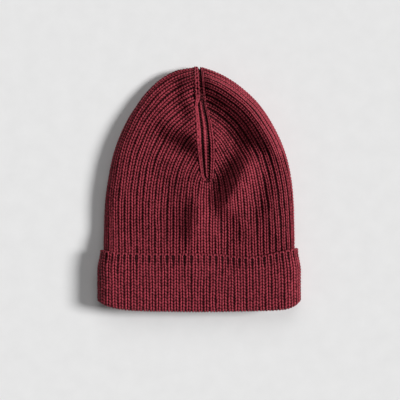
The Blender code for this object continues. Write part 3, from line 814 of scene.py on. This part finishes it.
def backing_wall(name, grid, middle=None):
    """A thin wall behind the stitches, from a grid of columns closed around.

    With a middle line, the ends of the columns are closed over it from both sides.
    """
    count = grid.shape[1]
    points = grid.reshape(-1, 3)
    faces, corners = wall_faces(grid)
    if middle is not None:
        inner = range(len(points), len(points) + len(middle) - 2)
        closing = closing_faces(count, [count - 1, *inner, (HALF + 1) * count - 1])
        points = np.concatenate([points, middle[1:-1]])
        faces += closing
        corners += [(0.5, 0.5)] * sum(len(face) for face in closing)
    piece = new_piece(name, points, faces)
    piece.data.uv_layers.new(name="rows").data.foreach_set("uv", np.ravel(corners))
    deselect()
    piece.select_set(True)
    bpy.context.view_layer.objects.active = piece
    wall = piece.modifiers.new("wall", "SOLIDIFY")
    wall.thickness = BACKING_THICK
    wall.offset = -1
    bpy.ops.object.modifier_apply(modifier="wall")
    bpy.ops.object.shade_smooth()
    lift(piece.data)
    piece.data.materials.append(backing)
    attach(piece, "root")
    return piece


def lift(mesh):
    """Keep every point just off the floor."""
    places = np.zeros(len(mesh.vertices) * 3)
    mesh.vertices.foreach_get("co", places)
    places[2::3] = np.maximum(places[2::3], OFF_FLOOR)
    mesh.vertices.foreach_set("co", places)
    mesh.update()


class Wire:
    """A socket that sums can be written with."""

    def __init__(self, finish, socket):
        self.finish = finish
        self.socket = socket

    def _math(self, operation, first, second):
        return self.finish.node("ShaderNodeMath", {"operation": operation}, {0: first, 1: second})

    def __add__(self, other):
        return self._math("ADD", self, other)

    __radd__ = __add__

    def __sub__(self, other):
        return self._math("SUBTRACT", self, other)

    def __rsub__(self, other):
        return self._math("SUBTRACT", other, self)

    def __mul__(self, other):
        return self._math("MULTIPLY", self, other)

    __rmul__ = __mul__


class Finish:
    """A material put together from nodes."""

    def __init__(self, name, roughness, gloss=0.15, sheen=0.0, tint=(1, 1, 1, 1)):
        self.material = bpy.data.materials.new(name)
        self.material.use_nodes = True
        self.nodes = self.material.node_tree.nodes
        self.links = self.material.node_tree.links
        self.shader = self.nodes["Principled BSDF"]
        looks = {"Roughness": roughness, "Specular IOR Level": gloss, "Specular Tint": tint,
                 "Sheen Weight": sheen, "Sheen Roughness": 0.5, "Sheen Tint": tint}
        for socket, value in looks.items():
            self.shader.inputs[socket].default_value = value

    def node(self, kind, settings=None, values=None, output=0):
        """A new node's output, after its settings and the values or links of its sockets."""
        node = self.nodes.new(kind)
        for key, value in (settings or {}).items():
            setattr(node, key, value)
        for key, value in (values or {}).items():
            if isinstance(value, Wire):
                self.links.new(value.socket, node.inputs[key])
            else:
                node.inputs[key].default_value = value
        return Wire(self, node.outputs[output])

    def mix(self, factor, first, second):
        """Blend of two colours."""
        values = {0: factor, 6: first, 7: second}
        return self.node("ShaderNodeMix", {"data_type": "RGBA"}, values, 2)

    def noise(self, place, scale, detail):
        values = {"Vector": place, "Scale": scale, "Detail": detail}
        return self.node("ShaderNodeTexNoise", {}, values)

    def wave(self, kind, turns):
        """The sine or cosine of a number of turns."""
        return self.node("ShaderNodeMath", {"operation": kind}, {0: turns * (2 * math.pi)})

    def layout(self, name):
        """The two coordinates of a UV map."""
        place = self.node("ShaderNodeUVMap", {"uv_map": name})
        return [self.node("ShaderNodeSeparateXYZ", {}, {0: place}, axis) for axis in "XY"]

    def feed(self, socket, wire):
        self.links.new(wire.socket, self.shader.inputs[socket])

    def emboss(self, height, strength, depth):
        values = {"Height": height, "Strength": strength, "Distance": depth}
        self.feed("Normal", self.node("ShaderNodeBump", {}, values))


def yarn_finish():
    """Soft plied wool: twisted plies, fine fibres and slightly uneven dye, with painted shade low
    on each leg, beside its grooves and in the folds' dents, and painted light on the folds' rolls.
    """
    finish = Finish("wine_red_yarn", roughness=0.57, gloss=0.42, sheen=0.02, tint=YARN_TINT)
    place = finish.node("ShaderNodeTexCoord", output="Object")
    patches = finish.noise(place, DYE_PATCHES, detail=2.0)
    fuzz = finish.noise(place, FUZZ, detail=2.0)
    around, along = finish.layout("yarn")
    tone, deep, fold_light_and_shade = (finish.node("ShaderNodeAttribute", {"attribute_name": name}, output="Fac")
                        for name in ("tone", "deep", "fold_light_and_shade"))
    plies = finish.wave("SINE", around * PLIES_ROUND + along * PLIES_ALONG)
    lie = {0: around * FIBRES_ROUND + along * FIBRES_WIND, 1: along * FIBRES_ALONG,
           2: tone * FIBRES_APART}
    fibres = finish.noise(finish.node("ShaderNodeCombineXYZ", {}, lie), FIBRES, detail=3.0)
    # The blend paints shade low on each leg, beside its grooves and in the folds' dents, and paints
    # light on the folds' rolls. Dye patches, fuzz, fibres, tone and plies are the yarn's own.
    share = (patches * 0.28 + fuzz * 0.30 + fibres * 0.35 + tone * 0.50 + plies * 0.10
             + fold_light_and_shade * 0.24 - deep * 2.1 + 0.42)
    finish.feed("Base Color", finish.mix(share, YARN_DARK, YARN_LIGHT))
    height = plies * 0.45 + fibres * 0.9 + fuzz * 0.35
    finish.emboss(height, strength=0.9, depth=YARN_RELIEF)
    return finish.material


def shaded_backing_finish():
    """The same yarn deep between the ribs, where its purl bumps lie in rows, painted much darker as
    painted shade, and darker still in the dips between the bumps.
    """
    finish = Finish("yarn_in_painted_shade_between_ribs", roughness=0.9)
    place = finish.node("ShaderNodeTexCoord", output="Object")
    fibres = finish.noise(place, PURL_FIBRES, detail=3.0)
    rib, row = finish.layout("rows")
    bumps = finish.wave("COSINE", row)
    grooves = finish.wave("COSINE", rib)
    height = (bumps * 0.5 + 0.5) * (grooves * 0.5 + 0.5)
    # Painted shade: the purl bumps' tops are lighter and the dips between them darker.
    finish.feed("Base Color", finish.mix(height * 0.9 + fibres * 0.5 - 0.25, BACKING_SHADE_DARK, BACKING_SHADE_LIGHT))
    finish.emboss(height + fibres * 0.3, strength=1.0, depth=PURL_RELIEF)
    return finish.material


def rows_between(begin, end, length=ROW):
    """Where the rows of stitches lie along a path, evenly and close to their usual length."""
    rows = max(1, round((end - begin) / length))
    return begin + (np.arange(rows) + 0.5) * (end - begin) / rows


def drift(rows, spread, every):
    """A slow chance change along a rib, one value a row."""
    turns = rng.normal(0, spread, max(4, rows // every))
    return np.interp(np.linspace(0, 1, rows), np.linspace(0, 1, len(turns)), turns)


def knit_rib(stitches, path, at, width, slack):
    """Pairs of legs along a path, with their rows at the given lengths."""
    rows = len(at)
    width = width * (1 + drift(rows, slack, SLACK_ROWS))
    aside = drift(rows, WOBBLE, WOBBLE_ROWS)[:, None]
    for leg in rib_legs:
        shift = rng.uniform(-UNEVEN, UNEVEN, rows)
        wide = width * rng.uniform(*LEG_SLACK, rows)
        stitches.add(leg, path.lay(leg.points, at + shift, wide[:, None], aside))


def rim_pull(rib, path, at):
    """Width of a rib: less where the knit rolls over its right edge and the grooves open."""
    near = ease(1 - abs(rib - RIM_RIB) / RIM_REACH)
    unstretched = ease((WIDEST - np.interp(at, path.lengths, path.widths)) / RIM_STRETCH)
    return 1 - RIM_PULL * near * unstretched


def crown_ribs(paths):
    """The crown's ribs, from under the cuff up to the seam."""
    for place, ribs in QUARTERS:
        stitches = Stitches()
        for rib in ribs:
            path = paths[rib]
            at = rows_between(0.0, path.length + OVER_SEAM)
            knit_rib(stitches, path, at, rim_pull(rib, path, at), CROWN_SLACK)
        stitches.piece("crown_ribs_" + place, yarn)


def turned(out, along, degrees, count):
    """Directions that turn from straight outwards towards another direction."""
    turns = np.radians(np.linspace(*degrees, count))[None, :, None]
    return out * np.cos(turns) + along * np.sin(turns)


def cuff_lines():
    """The cuff from its rolled upper edge down the outside, round the hem and up the inside.

    Returns the places and outward directions of every column at the knit's outer face.
    """
    under = knit.levels(np.linspace(0, 1, CUFF_STEPS))
    out = section_outward(under)
    to_top = np.array([0, 1, 0])
    top, top_out = under[:, -1:], out[:, -1:]
    lip_out = turned(top_out, to_top, LIP_TURN, LIP_STEPS)
    lip = top + top_out * (CUFF_GAP + WALL / 2) - to_top * LIP_RADIUS + lip_out * LIP_RADIUS
    wall = (under + out * CUFF_OUT)[:, ::-1]
    below_lip = top[:, :, 1] - LIP_RADIUS
    crowded = below_lip - LIP_CROWDING * np.arange(CUFF_STEPS)
    wall[:, :, 1] = np.where(wall[:, :, 1] < below_lip, wall[:, :, 1], crowded)
    seat, seat_out = under[:, :1], out[:, :1]
    hem_out = turned(seat_out, -to_top, HEM_TURN, HEM_STEPS)
    hem_middle = seat + seat_out * (CUFF_OUT - FOLD_RADIUS) - to_top * SEAM_GAP
    deep = knit.levels(np.linspace(0, INSIDE_LENGTH / CUFF_HEIGHT, INSIDE_STEPS))
    deep_out = section_outward(deep)
    inside = deep - deep_out * WALL
    places = np.concatenate([lip, wall, hem_middle + hem_out * FOLD_RADIUS, inside], 1)
    return places, np.concatenate([lip_out, out[:, ::-1], hem_out, -deep_out], 1)


def cuff_ribs(paths):
    """The cuff's ribs, with the arches of the cast-on edge and the legs behind them."""
    edge = ((pair("cast-on arch"), ARCH_AT), (pair("leg behind arch"), BEHIND_AT))
    for side, ribs in HALVES:
        stitches = Stitches()
        for rib in ribs:
            path = paths[rib]
            at = rows_between(FIRST_ROW_AT, path.length)
            slot = rng.uniform(*SLOT)
            width = CUFF_FULL - slot + slot * ease((at - SLOT_FROM) / SLOT_LENGTH)
            knit_rib(stitches, path, at, width, CUFF_SLACK)
            for strands, place in edge:
                for strand in strands:
                    shift = rng.uniform(-UNEVEN, UNEVEN)
                    stitches.add(strand, path.lay(strand.points, [place + shift]))
        stitches.piece("cuff_ribs_" + side, yarn)


class SeamBand:
    """The band between the ends of the crown's ribs, from dart to dart over the top."""

    def __init__(self, ends, ends_out):
        station = np.arange(HALF + 1)
        right, left = ends[station], ends[-station]
        place = seam_place((right[:, 1] + left[:, 1]) / 2, station < HALF / 2)
        share = (place - left[:, 0]) / np.maximum(right[:, 0] - left[:, 0], LEAST_REACH)
        self.crease = left + (right - left) * np.clip(share, *CREASE_SHARES)[:, None]
        self.out = unit(ends_out[station] + ends_out[-station])
        self.edges = {1: right, -1: left}

    def reach(self, side):
        """How far the band reaches in plan from its crease to the right (1) or left (-1)."""
        return np.abs(self.edges[side][:, 0] - self.crease[:, 0])

    def paths(self, side, middle, width):
        """Paths along the band, so far in plan from its crease, wherever a yarn's width fits."""
        reach = np.maximum(self.reach(side), LEAST_REACH)
        toward = (self.edges[side] - self.crease) / reach[:, None]
        place = self.crease + toward * middle[:, None]
        along = unit(np.gradient(place, axis=0))
        out = unit(np.cross(toward, along) * side + self.out * SEAM_UPRIGHT)
        place += out * SEAM_PROUD
        wide = width * np.abs(np.sum(toward * unit(np.cross(along, out)), 1))
        fits = np.nonzero(wide > YARN_FITS)[0]
        paths = []
        for run in np.split(fits, np.nonzero(np.diff(fits) > 1)[0] + 1):
            if len(run) > 3:
                knots = lengths_along(place[run])
                way = np.linspace(0, knots[-1], SEAM_STEPS)
                places, outs = (spline(knots, line[run])(way) for line in (place, out))
                widths = np.interp(way, knots, wide[run]) / RIB_PITCH
                paths.append(Path(places, unit(outs), widths))
        return paths


def main_rib(seam, path):
    """The seam's main rib of smooth legs, with a chain of loops near the top."""
    legs = pair("smooth leg")
    near_top = np.nonzero(HALF_LENGTH - path.places[:, 1] < CHAIN_LENGTH)[0]
    chain_from, chain_to = path.lengths[near_top[[0, -1]]]
    for begin, end in ((0, chain_from), (chain_to, path.length)):
        at = rows_between(begin, end)
        for leg in legs:
            shift = rng.uniform(-UNEVEN, UNEVEN, len(at))
            seam.add(leg, path.lay(leg.points, at + shift), SMOOTH_DARK)
    at = rows_between(chain_from, chain_to, LOOP_LENGTH)
    for name, offset in (("upper loop", LOOP_LENGTH / 4), ("lower loop", -LOOP_LENGTH / 4)):
        for loop in pair(name):
            seam.add(loop, path.lay(loop.points + LOOP_PROUD, at + offset, LOOP_WIDE))


def purl_bumps(seam, path):
    """Rows of purl bumps deep in the band, which show where the ribs beside the crease part, with
    extra painted shade.
    """
    bump = Strand(*STRANDS["purl bump"])
    at = rows_between(0.0, path.length)
    for share in BUMPS_AT:
        aside = share * np.interp(at, path.lengths, path.widths) * RIB_PITCH
        seam.add(bump, path.lay(bump.points - BUMP_SINK, at, aside=aside[:, None]), BUMP_SHADE)


def seam_ribs(band):
    """The seam's main rib, the rib right of the crease, a narrow rib and the purl bumps."""
    seam = Stitches()
    reach, right_reach = band.reach(-1), band.reach(1)
    down = HALF_LENGTH - band.crease[:, 1]
    free = CREASE_ROOM + reach * MAIN_ASIDE * ease((down - CHAIN_LENGTH) / CHAIN_END)
    main_width = reach - free + MAIN_OVER
    for path in band.paths(-1, reach - main_width / 2 + MAIN_OVER, main_width):
        main_rib(seam, path)
    right_width = np.minimum(RIGHT_RIB, right_reach - CREASE_WIDTH / 2)
    for path in band.paths(1, right_reach - right_width / 2, right_width):
        knit_rib(seam, path, rows_between(0.0, path.length), 1.0, CUFF_SLACK)
    narrow_leg = Strand(*STRANDS["narrow leg"])
    for path in band.paths(-1, free / 2 + NARROW_ASIDE, free - NARROW_GAPS):
        seam.add(narrow_leg, path.lay(narrow_leg.points, rows_between(0.0, path.length)))
    for path in band.paths(-1, reach / 2, reach):
        purl_bumps(seam, path)
    return seam.piece("seam_ribs", yarn)


def floor():
    deselect()
    bpy.ops.mesh.primitive_plane_add(size=FLOOR_SIZE, location=(0, 0, 0))
    ground = bpy.context.object
    ground.name = "floor"
    finish = Finish("pale_floor", roughness=0.9, gloss=0.0)
    place = finish.node("ShaderNodeTexCoord", output="Object")
    grain = finish.noise(place, FLOOR_GRAIN, detail=3.0)
    finish.feed("Base Color", finish.mix(grain, FLOOR_DARK, FLOOR_LIGHT))
    ground.data.materials.append(finish.material)


def light():
    """Wide soft lights and an even light of the room."""
    for name, strength, softness, height, turn in LAMPS:
        glow = bpy.data.lights.new(name, "SUN")
        glow.energy = strength
        glow.angle = math.radians(softness)
        holder = new_object(name, glow)
        holder.rotation_euler = (0, math.radians(90 - height), math.radians(turn))
    world = bpy.data.worlds.new("room")
    bpy.context.scene.world = world
    world.use_nodes = True
    room = world.node_tree.nodes["Background"]
    room.inputs["Color"].default_value = (1, 1, 1, 1)
    room.inputs["Strength"].default_value = ROOM_LIGHT
    bpy.context.scene.view_settings.view_transform = "Standard"


def camera():
    """Straight above the hat, as far off and as wide as the photograph."""
    lens = bpy.data.cameras.new("camera")
    lens.sensor_width = SENSOR
    lens.lens = SENSOR * (CAMERA_HEIGHT - EDGE_LIFT) / (PHOTO_PIXELS * PIXEL)
    view = new_object("camera", lens)
    view.location = (*FRAME_MIDDLE, CAMERA_HEIGHT)
    bpy.context.scene.camera = view


yarn = yarn_finish()
backing = shaded_backing_finish()
rib_legs = pair("rib leg")
knit = Knit()

# The crown
crown_grid = knit.above(GRID_STEPS, UNDER_CUFF_ROWS * ROW)
crown_out = outward(crown_grid)
crown_ribs(rib_paths(crown_grid, crown_out))

# The cuff around it
cuff_places, cuff_out = cuff_lines()
cuff_ribs(rib_paths(cuff_places, cuff_out, slanted=True))
cuff_wall = backing_wall("cuff_wall", cuff_places - cuff_out * BACKING_DEPTH)
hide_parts("cuff")

# The seam, and the crown's wall that closes under it
band = SeamBand(crown_grid[:, -1], crown_out[:, -1])
whole_grid = knit.above(WALL_STEPS, CUFF_HEIGHT)
pouch = whole_grid - outward(whole_grid) * BACKING_DEPTH
crown_wall = backing_wall("crown_wall", pouch, band.crease - band.out * SEAM_SINK)
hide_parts("crown")
seam = seam_ribs(band)
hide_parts("crown_seam")

floor()
light()
camera()
